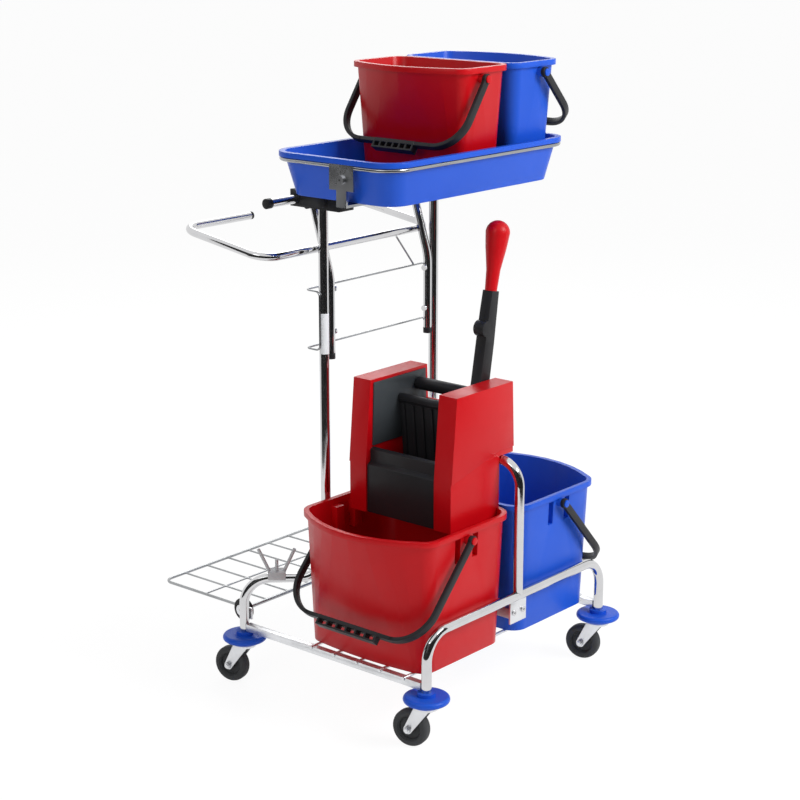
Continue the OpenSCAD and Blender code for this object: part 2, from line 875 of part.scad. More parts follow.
// Wire rack that hooks round the outer sides of the uprights
module wire_rack() {
    x = upright_x + (tube_d + wire_d) / 2 + seat_gap;
    back = rear_y + rack_depth;
    corner = 10;
    stay_x = upright_x - 70;
    color("silver") placed() {
        tube([
            [0, back, rack_low], [x, back, rack_low], [x, rear_y, rack_low], [x, rear_y, rack_top],
            [x, back, rack_top], [-x, back, rack_top], [-x, rear_y, rack_top], [-x, rear_y, rack_low],
            [-x, back, rack_low], [0, back, rack_low]
        ], wire_d, corner);
        stay_end = [stay_x, ring_y + ring_d / 2, ring_z - ring_d / 2 - wire_d];
        rod([stay_x + 50, back, rack_top], stay_end, wire_d);
    }
}

tray_z = clamp_top + seat_gap;
tray_rim = tray_z + tray_h;
tray_rim_h = 10;
tray_wire_z = tray_rim - tray_rim_h - seat_gap - tray_wire_d / 2;
tray_wire_out = tray_flange - tray_wire_d / 2 - seat_gap;
end_plate_y = -tray_front - 33;
end_plate_h = 48;
bearer_t = 5;

// Rectangle with round corners, l along X and w along Y
module round_slab(l, w, r, z, h) {
    translate([-l / 2 + r, -w / 2, z]) cube([l - 2 * r, w, h]);
    translate([-l / 2, -w / 2 + r, z]) cube([l, w - 2 * r, h]);
    for (sx = [-1, 1], sy = [-1, 1]) {
        translate([sx * (l / 2 - r), sy * (w / 2 - r), z]) cylinder(h = h, r = r);
    }
}

// Wire ring under the tray's rim with an end plate, a foot and a bearer on each side
module tray_frame() {
    hx = tray_len / 2 - tray_wire_out;
    hy = tray_width / 2 - tray_wire_out;
    z = tray_wire_z;
    color("silver") placed() {
        translate([0, -tray_front, 0]) tube([
            [0, hy, z], [hx, hy, z], [hx, -hy, z], [-hx, -hy, z], [-hx, hy, z], [0, hy, z]
        ], tray_wire_d, tray_corner - tray_wire_out);
        for (side = [0, 1]) mirror([side, 0, 0]) {
            translate([hx, end_plate_y - end_plate_w / 2, z - end_plate_h + tray_wire_d / 2]) {
                cube([plate_t, end_plate_w, end_plate_h]);
            }
            translate([hx, end_plate_y - bearer_w / 2, clamp_top - bearer_t]) {
                cube([plate_t, bearer_w, z - clamp_top]);
            }
            translate([upright_x, end_plate_y - bearer_w / 2, clamp_top - bearer_t]) {
                cube([hx + plate_t - upright_x, bearer_w, bearer_t]);
            }
            translate([upright_x - bearer_w / 2, end_plate_y - tray_width / 4, clamp_top - bearer_t]) {
                cube([bearer_w, clamp_front - end_plate_y + tray_width / 4, bearer_t]);
            }
        }
    }
}

module tray_screws() {
    x = tray_len / 2 - tray_wire_out + plate_t;
    color("dimgray") placed() for (side = [0, 1]) mirror([side, 0, 0]) {
        pin_x(end_plate_y, tray_wire_z - end_plate_h / 2, x, x + screw_head_h + 2, screw_head_d + 6);
    }
}

// Tapered tray with a broad rim
module tray_loft(l, w, r, z0, z1) {
    hull() {
        plan_posts(l - 2 * tray_end_taper, w - 2 * tray_taper, r - tray_taper / 2, 0, z0);
        plan_posts(l, w, r, 0, z1 - 1);
    }
}

module tray() {
    l = tray_len - 2 * tray_flange;
    w = tray_width - 2 * tray_flange;
    r = tray_corner - tray_flange;
    color("royalblue") placed() translate([0, -tray_front, tray_z]) difference() {
        union() {
            tray_loft(l, w, r, 0, tray_h);
            round_slab(tray_len, tray_width, tray_corner, tray_h - tray_rim_h, tray_rim_h);
        }
        tray_loft(l - 2 * tray_wall, w - 2 * tray_wall, r - tray_wall, tray_wall, tray_h + 1);
    }
}

// Posts that span one level of a plan with a flat side at +X and a bow towards -X
module plan_posts(l, w, r, bow, z) {
    for (sy = [-1, 1]) translate([l / 2 - r, sy * (w / 2 - r), z]) cylinder(h = 1, r = r, $fn = 32);
    for (t = bow > 0 ? [-1 : 0.25 : 1] : [-1, 1]) {
        translate([-l / 2 + r + bow * t * t, t * (w / 2 - r), z]) cylinder(h = 1, r = r, $fn = 32);
    }
}

// Loft from a narrow floor with a nearly straight outer wall at z0 to the full bowed plan at z1
module tapered(l, w, r, bow, taper, z0, z1) {
    toe = bow * bow_drawn;
    hull() {
        translate([toe / 2, 0, 0]) {
            plan_posts(l - 2 * taper - toe, w - 2 * taper, r - taper / 2, bow - toe, z0);
        }
        plan_posts(l, w, r, bow, z1 - 1);
    }
}

// Bail pivot on the wall that faces -Y: a boss, a pin and a head
module pivot_pin(w, h, taper) {
    eye = w / 2 + bail_gap;
    wall = -w / 2 + bucket_flange + taper;
    pin_y(0, h - pivot_drop, -eye + seat_gap, wall, pivot_d + 9);
    pin_y(0, h - pivot_drop, -eye - bail_t - 3, wall, pivot_d);
    pin_y(0, h - pivot_drop, -eye - bail_t - 3, -eye - bail_t - seat_gap, pivot_d + 5);
}

// Stacking pocket in the wall that faces -Y, grown by extra on its blind sides
module pocket(w, h, extra) {
    top = h - flange_h - 5;
    out = w / 2 - bucket_flange + (extra > 0 ? 0 : 9);
    back = w / 2 - bucket_flange - bucket_taper - pocket_d - extra;
    for (sx = [-1, 1]) translate([sx * pocket_off - pocket_w / 2 - extra, -out, top - pocket_h - extra]) {
        cube([pocket_w + 2 * extra, out - back, pocket_h + 2 * extra]);
    }
}

// Pail with a bowed outer wall, a rim band, bail pivots on both sides and, where asked for, stacking pockets
module pail(l, w, h, taper, bow, r, shift, pockets) {
    f = bucket_flange;
    wl = bucket_wall;
    difference() {
        union() {
            tapered(l - 2 * f, w - 2 * f, r - f, bow, taper, 0, h);
            hull() {
                plan_posts(l, w, r, bow, h - flange_h);
                plan_posts(l, w, r, bow, h - 1);
            }
            for (my = [0, 1]) mirror([0, my, 0]) translate([shift, 0, 0]) pivot_pin(w, h, taper);
        }
        difference() {
            tapered(l - 2 * f - 2 * wl, w - 2 * f - 2 * wl, r - f - wl, bow, taper, wl, h + 1);
            if (pockets) for (my = [0, 1]) mirror([0, my, 0]) translate([shift, 0, 0]) pocket(w, h, wl);
        }
        if (pockets) for (my = [0, 1]) mirror([0, my, 0]) translate([shift, 0, 0]) pocket(w, h, 0);
    }
}

bow_drawn = 0.8;
bucket_x = bucket_gap + bucket_len / 2;
small_x = small_gap / 2 + small_len / 2;
small_z = tray_z + tray_wall + seat_gap;

// Places of the four buckets, with the bow turned outwards
module large_place(side) {
    at = [side * bucket_x, -bucket_front, bucket_z];
    placed() translate(at) mirror([side > 0 ? 1 : 0, 0, 0]) children();
}

module small_place(side) {
    at = [small_shift + side * small_x, -tray_front, small_z];
    placed() translate(at) mirror([side > 0 ? 1 : 0, 0, 0]) children();
}

module large_pail() {
    pail(bucket_len, bucket_width, bucket_h, bucket_taper, bucket_bow, bucket_corner, pivot_shift, true);
}

module small_pail() {
    pail(small_len, small_width, small_h, small_taper, small_bow, small_corner, 0, false);
}

module red_bucket() {
    color("red") large_place(-1) large_pail();
}

module blue_bucket() {
    color("royalblue") large_place(1) large_pail();
}

module small_red_bucket() {
    color("red") small_place(-1) small_pail();
}

module small_blue_bucket() {
    color("royalblue") small_place(1) small_pail();
}

// Outline of a bail: half width a, depth z, corner radius r
module bail_outline(a, z, r) {
    translate([-a, -z + r]) square([2 * a, z - r]);
    translate([-a + r, -z]) square([2 * a - 2 * r, r]);
    for (sy = [-1, 1]) translate([sy * (a - r), -z + r]) circle(r = r);
}

// Bail strap with an eye at each end and a ladder grip under its middle
module bail(w, reach, hang, h, grip, corner) {
    inner = w / 2 + bail_gap;
    outer = inner + bail_t;
    low = -reach - bail_t / 2 - grip_drop;
    pitch = (grip - grip_rib) / grip_windows;
    translate([0, 0, h - pivot_drop]) rotate([0, hang, 0]) difference() {
        union() {
            translate([-bail_w / 2, 0, 0]) rotate([90, 0, 90]) linear_extrude(bail_w) difference() {
                bail_outline(outer, reach + bail_t / 2, corner);
                translate([0, 1]) bail_outline(inner, reach + 1 - bail_t / 2, corner - bail_t);
            }
            for (sy = [-1, 1]) {
                pin_y(0, 0, sy > 0 ? inner : -outer, sy > 0 ? outer : -inner, pivot_d + 10);
            }
            translate([-bail_w / 2 - 1, -grip / 2, low]) cube([bail_w + 2, grip, grip_drop + bail_t]);
        }
        for (i = [0 : grip_windows - 1]) {
            translate([-bail_w, -grip / 2 + grip_rib + i * pitch, low + grip_rib]) {
                cube([2 * bail_w, pitch - grip_rib, grip_drop - grip_rib]);
            }
        }
        pin_y(0, 0, -outer - 1, outer + 1, pivot_d + 2 * run_clear);
    }
}

module large_bail() {
    translate([pivot_shift, 0, 0]) bail(bucket_width, bail_reach, bail_hang, bucket_h, grip_len, bail_corner);
}

module small_bail(hang) {
    bail(small_width, small_reach, hang, small_h, small_grip_len, small_bail_corner);
}

module red_bail() {
    color("black") large_place(-1) large_bail();
}

module blue_bail() {
    color("black") large_place(1) large_bail();
}

module small_red_bail() {
    color("black") small_place(-1) small_bail(small_hang);
}

module small_blue_bail() {
    color("black") small_place(1) small_bail(small_blue_hang);
}

wring_foot = rim_z - wringer_sink;
wring_top = wring_foot + wringer_h;
wring_back = -hoop_d / 2 - seat_gap;
wring_face = wring_back - wringer_len;
wring_over = wring_back + wringer_over;
over_z = hoop_top + seat_gap;
notch_x = -bucket_gap - bucket_flange - bucket_wall - 3;
notch_z = rim_z + seat_gap;
cheek_y = wringer_w / 2 - cheek_w;
liner_t = 3;
shaft_x = wring_face + shaft_back;
shaft_z = wring_foot + shaft_h;
press_x = wring_face + press_back;
press_z = wring_foot + press_h;
back_rise = 75;
lever_y = -cheek_y + liner_t + 1 + lever_w / 2;

// The wringer is drawn about the buckets' centre line
module wringer_place() {
    placed() translate([0, -bucket_front, 0]) children();
}

// Outline in X and Z drawn out along Y from y0 over h
module slab_y(y0, h) {
    translate([0, y0 + h, 0]) rotate([90, 0, 0]) linear_extrude(h) children();
}

module cheek_outline() {
    polygon([
        [wring_face, wring_foot], [wring_face, wring_foot + panel_h], [wring_face + cheek_lean, wring_top],
        [wring_over - 6, wring_top], [wring_over, over_z], [wring_back, over_z], [wring_back, notch_z],
        [notch_x, notch_z], [notch_x, wring_foot]
    ]);
}

// Part of the cheek above the sloping seam, which stands proud of the lower part
module seam_outline() {
    polygon([
        [wring_face, wring_foot + panel_h], [wring_face + cheek_lean, wring_top], [wring_over - 6, wring_top],
        [wring_over, over_z + 12], [wring_back, over_z + 12]
    ]);
}

// Red body: two cheeks, a drained floor and a back wall that hooks over the hoop
module wringer_shell() {
    drain_d = 9;
    drains = 6;
    wall = wringer_wall;
    color("red") wringer_place() difference() {
        union() {
            for (side = [0, 1]) mirror([0, side, 0]) {
                slab_y(cheek_y, cheek_w - seam_step) cheek_outline();
                slab_y(cheek_y, cheek_w) seam_outline();
            }
            slab_y(-cheek_y, 2 * cheek_y) {
                translate([wring_face + 16, wring_foot]) square([notch_x - wring_face - 16, wall]);
                polygon([
                    [wring_back - wall, notch_z], [wring_back, notch_z],
                    [wring_back, over_z], [wring_over, over_z],
                    [wring_over - 3, over_z + back_rise], [wring_over - 3 - wall, over_z + back_rise],
                    [wring_over - wall, over_z + wall], [wring_back - wall, over_z + wall]
                ]);
                translate([notch_x - wall, wring_foot]) square([wall, notch_z + wall - wring_foot]);
                translate([notch_x - wall, notch_z]) square([wring_back - notch_x, wall]);
            }
        }
        for (i = [0 : drains - 1], x = [0.3, 0.6]) {
            translate([
                wring_face + (notch_x - wring_face) * x,
                cheek_y * (2 * (i + 0.5) / drains - 1),
                wring_foot - 1
            ]) cylinder(h = wall + 2, d = drain_d);
        }
        pin_y(shaft_x, shaft_z, -cheek_y - cheek_w * 0.7, cheek_y + cheek_w * 0.7, shaft_d + 2 * run_clear);
        press_reach = cheek_y + cheek_w * 0.5;
        pin_y(press_x, press_z, -press_reach, press_reach, press_pin_d + 2 * seat_gap);
    }
}

// Dark linings on the inner faces of the cheeks
module wringer_liner() {
    low = wring_foot + panel_h + 36;
    color("dimgray") wringer_place() for (side = [0, 1]) mirror([0, side, 0]) difference() {
        slab_y(cheek_y - liner_t, liner_t) polygon([
            [wring_face + cheek_lean + 4, low], [wring_face + cheek_lean + 8, wring_top - 6],
            [wring_over - 14, wring_top - 6], [wring_over - 10, low]
        ]);
        pin_y(shaft_x, shaft_z, cheek_y - 2 * liner_t, cheek_y + 1, shaft_d + 2);
    }
}

// Black front panel with its ledge and the sloping floor of the basket
module wringer_panel() {
    h = wring_foot + panel_h;
    f = wring_face + 3;
    t = wringer_wall;
    color("black") wringer_place() slab_y(-cheek_y, 2 * cheek_y) polygon([
        [f, wring_foot],
        [f, h],
        [f + ledge_d, h + ledge_rise],
        [f + ledge_d, h + lip_h - 4],
        [f + ledge_d + 8, h + lip_h],
        [f + floor_reach, h - floor_drop],
        [f + floor_reach, h - floor_drop - t],
        [f + ledge_d + 8, h + lip_h - 2 * t],
        [f + ledge_d + t, h + lip_h - 8 - t],
        [f + ledge_d + t, h + ledge_rise - t],
        [f + t, h - t],
        [f + t, wring_foot]
    ]);
}

// Ribbed plate that swings forward on its lower pin
module press_plate() {
    half = cheek_y - liner_t - 1;
    reach = 150;
    lean = 6;
    thick = 9;
    ribs = 7;
    color("black") wringer_place() difference() {
        union() {
            slab_y(-half, 2 * half) translate([press_x, press_z]) rotate(lean) {
                circle(d = press_pin_d + 12);
                translate([-thick / 2, 0]) square([thick, reach]);
                translate([0, reach]) circle(d = 2 * thick);
            }
            for (i = [0 : ribs - 1]) {
                rib_y = -half + 2 * half * (i + 0.5) / ribs - 3;
                slab_y(rib_y, 6) translate([press_x, press_z]) rotate(lean) {
                    translate([-thick, press_pin_d]) square([thick, reach - 2 * press_pin_d]);
                }
            }
        }
        pin_y(press_x, press_z, -half - 1, half + 1, press_pin_d + 2 * run_clear);
    }
}

module press_pin() {
    reach = cheek_y + cheek_w * 0.45;
    color("silver") wringer_place() pin_y(press_x, press_z, -reach, reach, press_pin_d);
}

// Black sleeve on the shaft beside the lever
module cross_roller() {
    color("black") wringer_place() difference() {
        pin_y(shaft_x, shaft_z, lever_y + lever_w / 2 + seat_gap, cheek_y - liner_t - 1, roller_d);
        pin_y(shaft_x, shaft_z, -cheek_y, cheek_y, shaft_d + 2 * seat_gap);
    }
}

module lever_shaft() {
    reach = cheek_y + cheek_w * 0.65;
    color("silver") wringer_place() pin_y(shaft_x, shaft_z, -reach, reach, shaft_d);
}

// Lever arm with its boss and a thumb stop on the front
module lever_arm() {
    color("black") wringer_place() difference() {
        slab_y(lever_y - lever_w / 2, lever_w) translate([shaft_x, shaft_z]) rotate(-lever_lean) {
            circle(d = shaft_d + 18);
            polygon([
                [-14, 0], [15, 0], [15, lever_len * 0.5], [11, lever_len], [-10, lever_len],
                [-12, lever_len * 0.8], [-13, lever_len * 0.5]
            ]);
            translate([-11, lever_len * 0.64]) circle(r = 16);
        }
        pin_y(shaft_x, shaft_z, -cheek_y, cheek_y, shaft_d + 2 * seat_gap);
    }
}

// Red grip that swells to a round head
module lever_grip() {
    head_r = 24;
    foot_r = 12;
    color("red") wringer_place() translate([shaft_x, lever_y, shaft_z]) rotate([0, lever_lean, 0]) {
        translate([0, 0, lever_len]) rotate_extrude() {
            polygon([
                [0, 0], [foot_r, 0], [foot_r + 2, lever_grip_len * 0.3], [head_r - 3, lever_grip_len * 0.62],
                [head_r, lever_grip_len - head_r], [0, lever_grip_len - head_r]
            ]);
            intersection() {
                translate([0, lever_grip_len - head_r]) circle(r = head_r);
                translate([0, lever_grip_len - head_r]) square([head_r, head_r]);
            }
        }
    }
}

front_rail();
rear_frame_red();
rear_frame_blue();
cross_tube();
end_bar_red();
end_bar_blue();
support_rods();
tie_bar();
tie_screws();
centre_hoop();
bumpers();
castor_fork_1();
castor_fork_2();
castor_fork_3();
castor_fork_4();
castor_axle_1();
castor_axle_2();
castor_axle_3();
castor_axle_4();
castor_wheel_1();
castor_wheel_2();
castor_wheel_3();
castor_wheel_4();
platform_brackets();
bag_platform();
platform_bushes();
mop_fork();
handle_leg_red();
handle_leg_blue();
handle_bar();
handle_caps();
leg_plugs();
leg_bolts();
clamp_red();
clamp_blue();
bag_ring();
ring_plugs();
wire_rack();
tray_frame();
tray_screws();
tray();
red_bucket();
blue_bucket();
small_red_bucket();
small_blue_bucket();
red_bail();
blue_bail();
small_red_bail();
small_blue_bail();
wringer_shell();
wringer_liner();
wringer_panel();
press_plate();
press_pin();
cross_roller();
lever_arm();
lever_shaft();
lever_grip();
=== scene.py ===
import json
import math
import bpy
import bmesh
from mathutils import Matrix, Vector


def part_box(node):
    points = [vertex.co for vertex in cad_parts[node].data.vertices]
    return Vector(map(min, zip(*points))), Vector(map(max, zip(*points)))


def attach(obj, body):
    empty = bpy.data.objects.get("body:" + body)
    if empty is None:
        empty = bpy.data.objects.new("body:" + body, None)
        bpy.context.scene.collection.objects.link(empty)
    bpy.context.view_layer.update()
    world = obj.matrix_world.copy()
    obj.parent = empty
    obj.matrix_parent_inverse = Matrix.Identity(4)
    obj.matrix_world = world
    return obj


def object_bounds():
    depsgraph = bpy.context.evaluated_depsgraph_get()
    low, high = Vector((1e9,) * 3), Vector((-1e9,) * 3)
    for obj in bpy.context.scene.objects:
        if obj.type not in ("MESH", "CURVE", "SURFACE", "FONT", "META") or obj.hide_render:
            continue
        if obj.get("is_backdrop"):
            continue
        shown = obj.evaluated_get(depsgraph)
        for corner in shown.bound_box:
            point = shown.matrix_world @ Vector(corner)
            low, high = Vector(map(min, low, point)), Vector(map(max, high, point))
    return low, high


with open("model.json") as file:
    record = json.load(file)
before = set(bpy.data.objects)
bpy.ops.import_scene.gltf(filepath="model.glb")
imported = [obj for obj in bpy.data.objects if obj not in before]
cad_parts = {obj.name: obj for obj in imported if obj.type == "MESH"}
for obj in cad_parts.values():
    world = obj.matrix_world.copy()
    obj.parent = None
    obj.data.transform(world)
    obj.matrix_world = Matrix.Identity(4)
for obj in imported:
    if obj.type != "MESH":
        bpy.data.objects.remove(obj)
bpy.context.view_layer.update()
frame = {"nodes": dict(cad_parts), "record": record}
nodes = frame["nodes"]
scene = bpy.context.scene
print("trolley loaded:", len(nodes), "pieces")


# gives a socket a number, or links it to another node's output
def feed(tree, value, socket):
    if isinstance(value, (int, float)):
        socket.default_value = value
    else:
        tree.links.new(value, socket)


def mathNode(tree, operation, *values):
    node = tree.nodes.new("ShaderNodeMath")
    node.operation = operation
    for value, socket in zip(values, node.inputs):
        feed(tree, value, socket)
    return node.outputs[0]


def noiseNode(tree, coords, scale, detail, rough=0.6):
    node = tree.nodes.new("ShaderNodeTexNoise")
    feed(tree, coords, node.inputs["Vector"])
    feed(tree, scale, node.inputs["Scale"])
    feed(tree, detail, node.inputs["Detail"])
    feed(tree, rough, node.inputs["Roughness"])
    return node.outputs["Fac"]


def rangeNode(tree, value, fromRange, toLow, toHigh):
    node = tree.nodes.new("ShaderNodeMapRange")
    feed(tree, value, node.inputs["Value"])
    feed(tree, fromRange[0], node.inputs["From Min"])
    feed(tree, fromRange[1], node.inputs["From Max"])
    feed(tree, toLow, node.inputs["To Min"])
    feed(tree, toHigh, node.inputs["To Max"])
    return node.outputs["Result"]


def shadeNode(tree, color, value):
    node = tree.nodes.new("ShaderNodeHueSaturation")
    feed(tree, color, node.inputs["Color"])
    feed(tree, value, node.inputs["Value"])
    return node.outputs["Color"]


# a shader group with a colour, some numbers, and what a finish needs coming out
def newSurface(name, color, numbers):
    group = bpy.data.node_groups.new(name, "ShaderNodeTree")
    addSocket = group.interface.new_socket
    addSocket("Color", in_out="INPUT", socket_type="NodeSocketColor").default_value = (*color, 1)
    for label, value in numbers.items():
        addSocket(label, in_out="INPUT", socket_type="NodeSocketFloat").default_value = value
    addSocket("Color", in_out="OUTPUT", socket_type="NodeSocketColor")
    for label in ("Roughness", "Height"):
        addSocket(label, in_out="OUTPUT", socket_type="NodeSocketFloat")
    given = group.nodes.new("NodeGroupInput").outputs
    made = group.nodes.new("NodeGroupOutput").inputs
    coords = group.nodes.new("ShaderNodeTexCoord").outputs["Object"]
    return group, given, made, coords


# moulded surface: cloudy tint, fine grain and rubbed patches
mould = dict(cloudDetail=5.0, grainDetail=2.0, scuffScale=38.0, scuffDetail=8.0, scuffRough=0.7,
             scuffRange=(0.3, 0.7))


def makeMouldGroup():
    group, given, made, coords = newSurface("mouldedSurface", (0.5, 0.5, 0.5), {
        "Tint": 0.08, "Gloss Low": 0.3, "Gloss High": 0.45, "Grain Scale": 900.0, "Cloud Scale": 6.0})
    cloud = noiseNode(group, coords, given["Cloud Scale"], mould["cloudDetail"])
    grain = noiseNode(group, coords, given["Grain Scale"], mould["grainDetail"])
    scuff = noiseNode(group, coords, mould["scuffScale"], mould["scuffDetail"], mould["scuffRough"])
    centred = mathNode(group, "SUBTRACT", cloud, 0.5)
    value = mathNode(group, "MULTIPLY_ADD", centred, given["Tint"], 1.0)
    rough = rangeNode(group, scuff, mould["scuffRange"], given["Gloss Low"], given["Gloss High"])
    feed(group, shadeNode(group, given["Color"], value), made["Color"])
    feed(group, rough, made["Roughness"])
    feed(group, grain, made["Height"])
    return group


# bright metal: faint drawn streaks and finger haze
metal = dict(hazeScale=14.0, hazeDetail=6.0, streakDetail=3.0, dullRange=(0.3, 0.7), roughRange=(0.35, 0.7))


def makeMetalGroup():
    group, given, made, coords = newSurface("brightMetal", (0.8, 0.8, 0.8), {
        "Haze": 0.05, "Gloss Low": 0.05, "Gloss High": 0.15, "Streak Scale": 120.0})
    haze = noiseNode(group, coords, metal["hazeScale"], metal["hazeDetail"])
    streak = noiseNode(group, coords, given["Streak Scale"], metal["streakDetail"])
    dullest = mathNode(group, "SUBTRACT", 1.0, given["Haze"])
    value = rangeNode(group, haze, metal["dullRange"], 1.0, dullest)
    rough = rangeNode(group, haze, metal["roughRange"], given["Gloss Low"], given["Gloss High"])
    feed(group, shadeNode(group, given["Color"], value), made["Color"])
    feed(group, rough, made["Roughness"])
    feed(group, streak, made["Height"])
    return group


mouldedSurface = makeMouldGroup()
brightMetal = makeMetalGroup()

finishes = {
    "chrome": dict(group="metal", color=(0.66, 0.66, 0.67), haze=0.10, gloss=(0.05, 0.13), scale=160,
                   bump=0.02, metallic=1.0),
    "wire": dict(group="metal", color=(0.40, 0.41, 0.42), haze=0.20, gloss=(0.16, 0.32), scale=300,
                 bump=0.05, metallic=1.0),
    "zinc": dict(group="metal", color=(0.80, 0.81, 0.83), haze=0.12, gloss=(0.28, 0.46), scale=420,
                 bump=0.05, metallic=0.85),
    "steel": dict(group="metal", color=(0.52, 0.53, 0.55), haze=0.12, gloss=(0.22, 0.4), scale=300,
                  bump=0.05, metallic=1.0),
    "tyre": dict(group="mould", color=(0.052, 0.054, 0.056), tint=0.5, gloss=(0.55, 0.75), scale=700,
                 cloud=20, bump=0.12),
    "blue": dict(group="mould", color=(0.012, 0.090, 0.60), tint=0.16, gloss=(0.30, 0.42), scale=900,
                 cloud=5, bump=0.05),
    "red": dict(group="mould", color=(0.54, 0.002, 0.006), tint=0.14, gloss=(0.28, 0.40), scale=900,
                cloud=5, bump=0.05),
    "black": dict(group="mould", color=(0.018, 0.018, 0.020), tint=0.4, gloss=(0.36, 0.52), scale=800,
                  cloud=12, bump=0.10),
    "charcoal": dict(group="mould", color=(0.045, 0.052, 0.058), tint=0.3, gloss=(0.42, 0.56), scale=800,
                     cloud=9, bump=0.12),
    "paper": dict(group="mould", color=(0.80, 0.82, 0.84), tint=0.05, gloss=(0.3, 0.42), scale=600,
                  cloud=30, bump=0.02),
    "grey": dict(group="mould", color=(0.56, 0.57, 0.58), tint=0.12, gloss=(0.35, 0.5), scale=800,
                 cloud=9, bump=0.06),
}
mouldShine = 0.22
bumpDepth = 0.0006


def makeFinish(name):
    look = finishes[name]
    material = bpy.data.materials.new(name + "Finish")
    material.use_nodes = True
    tree = material.node_tree
    shader = tree.nodes["Principled BSDF"]
    use = tree.nodes.new("ShaderNodeGroup")
    moulded = look["group"] == "mould"
    use.node_tree = mouldedSurface if moulded else brightMetal
    use.inputs["Color"].default_value = (*look["color"], 1)
    use.inputs["Gloss Low"].default_value, use.inputs["Gloss High"].default_value = look["gloss"]
    if moulded:
        use.inputs["Tint"].default_value = look["tint"]
        use.inputs["Grain Scale"].default_value = look["scale"]
        use.inputs["Cloud Scale"].default_value = look["cloud"]
        shader.inputs["Specular IOR Level"].default_value = mouldShine
    else:
        use.inputs["Haze"].default_value = look["haze"]
        use.inputs["Streak Scale"].default_value = look["scale"]
        shader.inputs["Metallic"].default_value = look["metallic"]
    bump = tree.nodes.new("ShaderNodeBump")
    bump.inputs["Strength"].default_value = look["bump"]
    bump.inputs["Distance"].default_value = bumpDepth
    feed(tree, use.outputs["Height"], bump.inputs["Height"])
    feed(tree, use.outputs["Color"], shader.inputs["Base Color"])
    feed(tree, use.outputs["Roughness"], shader.inputs["Roughness"])
    feed(tree, bump.outputs["Normal"], shader.inputs["Normal"])
    return material


materials = {name: makeFinish(name) for name in finishes}
print("finishes:", ", ".join(materials))


# widths in metres of the small rounds on each finish's edges
edgeRounds = {"blue": 0.0016, "red": 0.0016, "black": 0.0012, "charcoal": 0.0008, "grey": 0.0010, "zinc": 0.0006}
noRound = {"bumpers"}
# thin wires are duller than the tubes
ownFinish = {"wire_rack": "wire", "bag_platform": "wire", "tray_frame": "wire"}
weldReach = 0.00002
roundSteps = 2
roundAngle = math.radians(40)
splitAngle = math.radians(32)


def dressNode(node, slot):
    node.data.materials.clear()
    node.data.materials.append(materials[ownFinish.get(node.name, slot)])
    node.data.polygons.foreach_set("use_smooth", [True] * len(node.data.polygons))
    weld = node.modifiers.new("weld", "WELD")
    weld.merge_threshold = weldReach
    if slot in edgeRounds and node.name not in noRound:
        bevel = node.modifiers.new("roundEdges", "BEVEL")
        bevel.width = edgeRounds[slot]
        bevel.segments = roundSteps
        bevel.limit_method = "ANGLE"
        bevel.angle_limit = roundAngle
        bevel.use_clamp_overlap = True
    split = node.modifiers.new("sharpEdges", "EDGE_SPLIT")
    split.split_angle = splitAngle


for part in frame["record"]["subparts"]:
    dressNode(nodes[part["node"]], part["material_slot"])

# the tray's end plates are brushed, unlike the wire they are welded to
endPlate = dict(facing=0.95, leastArea=0.00002)
trayWire = nodes["tray_frame"].data
trayWire.materials.append(materials["steel"])
for face in trayWire.polygons:
    if abs(face.normal.x) > endPlate["facing"] and face.area > endPlate["leastArea"]:
        face.material_index = 1
print("solids dressed")


# the low and high corner of each separate lump in a node
def looseParts(node):
    mesh = bmesh.new()
    mesh.from_mesh(node.data)
    bmesh.ops.remove_doubles(mesh, verts=mesh.verts, dist=weldReach)
    mesh.verts.ensure_lookup_table()
    seen, parts = set(), []
    for start in mesh.verts:
        if start.index in seen:
            continue
        stack, island = [start], []
        seen.add(start.index)
        while stack:
            vert = stack.pop()
            island.append(vert.co.copy())
            for edge in vert.link_edges:
                other = edge.other_vert(vert)
                if other.index not in seen:
                    seen.add(other.index)
                    stack.append(other)
        low = Vector([min(point[k] for point in island) for k in range(3)])
        high = Vector([max(point[k] for point in island) for k in range(3)])
        parts.append((low, high))
    mesh.free()
    return parts


# puts one piece on every point, turned along the point's facing
def repeatTree():
    tree = bpy.data.node_groups.new("repeatOnPoints", "GeometryNodeTree")
    for label, kind in (("Points", "NodeSocketGeometry"), ("Piece", "NodeSocketObject"),
                        ("Size", "NodeSocketFloat"), ("Finish", "NodeSocketMaterial")):
        tree.interface.new_socket(label, in_out="INPUT", socket_type=kind)
    tree.interface.new_socket("Result", in_out="OUTPUT", socket_type="NodeSocketGeometry")
    given = tree.nodes.new("NodeGroupInput").outputs
    made = tree.nodes.new("NodeGroupOutput").inputs
    piece = tree.nodes.new("GeometryNodeObjectInfo")
    facing = tree.nodes.new("GeometryNodeInputNamedAttribute")
    facing.data_type = "FLOAT_VECTOR"
    facing.inputs["Name"].default_value = "facing"
    align = tree.nodes.new("FunctionNodeAlignRotationToVector")
    align.axis = "Z"
    spread = tree.nodes.new("GeometryNodeInstanceOnPoints")
    solid = tree.nodes.new("GeometryNodeRealizeInstances")
    paint = tree.nodes.new("GeometryNodeSetMaterial")
    feed(tree, given["Piece"], piece.inputs["Object"])
    feed(tree, given["Points"], spread.inputs["Points"])
    feed(tree, piece.outputs["Geometry"], spread.inputs["Instance"])
    feed(tree, facing.outputs["Attribute"], align.inputs["Vector"])
    feed(tree, align.outputs["Rotation"], spread.inputs["Rotation"])
    feed(tree, given["Size"], spread.inputs["Scale"])
    feed(tree, spread.outputs["Instances"], solid.inputs["Geometry"])
    feed(tree, solid.outputs["Geometry"], paint.inputs["Geometry"])
    feed(tree, given["Finish"], paint.inputs["Material"])
    feed(tree, paint.outputs["Geometry"], made["Result"])
    return tree


repeatOnPoints = repeatTree()


